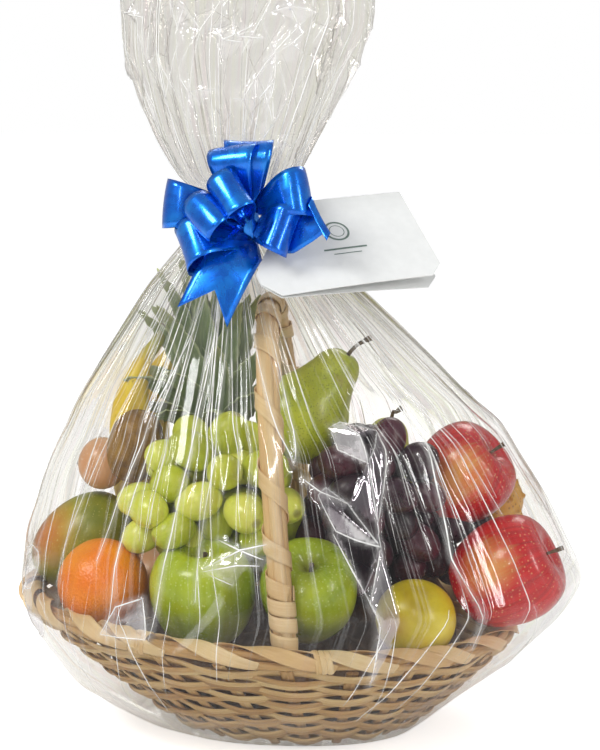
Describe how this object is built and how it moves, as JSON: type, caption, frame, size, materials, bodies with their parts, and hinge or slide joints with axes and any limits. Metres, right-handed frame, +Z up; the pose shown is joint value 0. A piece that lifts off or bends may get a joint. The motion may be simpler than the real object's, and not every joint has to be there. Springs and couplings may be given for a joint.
{
  "type": "wrapped fruit gift basket",
  "caption": "Oval wicker basket with a bound cane handle, filled with mixed whole fruit and wrapped in clear film that is gathered on top and tied with a ribbon bow and a card tag.",
  "frame": {"origin": "middle of the flat spot that the wrapped basket stands on", "axes": "+Z up; +X along the basket's long side, to the right of someone who faces the bow; +Y away from that person, along the handle's arch"},
  "size_m": [0.433, 0.3, 0.604],
  "materials": {
    "cane": "satin",
    "binding": "satin",
    "packing_paper": "matte",
    "green_skin": "waxy",
    "red_skin": "waxy",
    "pear_skin": "satin",
    "orange_peel": "dimpled",
    "granadilla_shell": "satin",
    "mango_skin": "waxy",
    "quince_skin": "satin",
    "kiwi_skin": "fuzzy",
    "knobbly_rind": "satin",
    "banana_peel": "satin",
    "green_grape_skin": "translucent",
    "dark_grape_skin": "bloomed",
    "pineapple_rind": "matte",
    "clear_film": "clear",
    "ribbon": "metallic",
    "card": "matte"
  },
  "bodies": {
    "root": {"banana_back": "banana_peel", "banana_front": "banana_peel", "basket_body": "cane", "basket_rim": "cane", "bow": "ribbon", "bow_tie": "ribbon", "dark_grapes": "dark_grape_skin", "film": "clear_film", "granadilla_back": "granadilla_shell", "granadilla_front": "granadilla_shell", "green_apple_left": "green_skin", "green_apple_right": "green_skin", "green_grapes": "green_grape_skin", "handle": "cane", "handle_binding": "binding", "kiwi": "kiwi_skin", "knobbly_fruit": "knobbly_rind", "mango": "mango_skin", "orange": "orange_peel", "packing": "packing_paper", "pear_back": "pear_skin", "pear_front": "pear_skin", "pineapple": "pineapple_rind", "quince": "quince_skin", "red_apple_back": "red_skin", "red_apple_front": "red_skin", "tag": "card"}
  },
  "joints": []
}
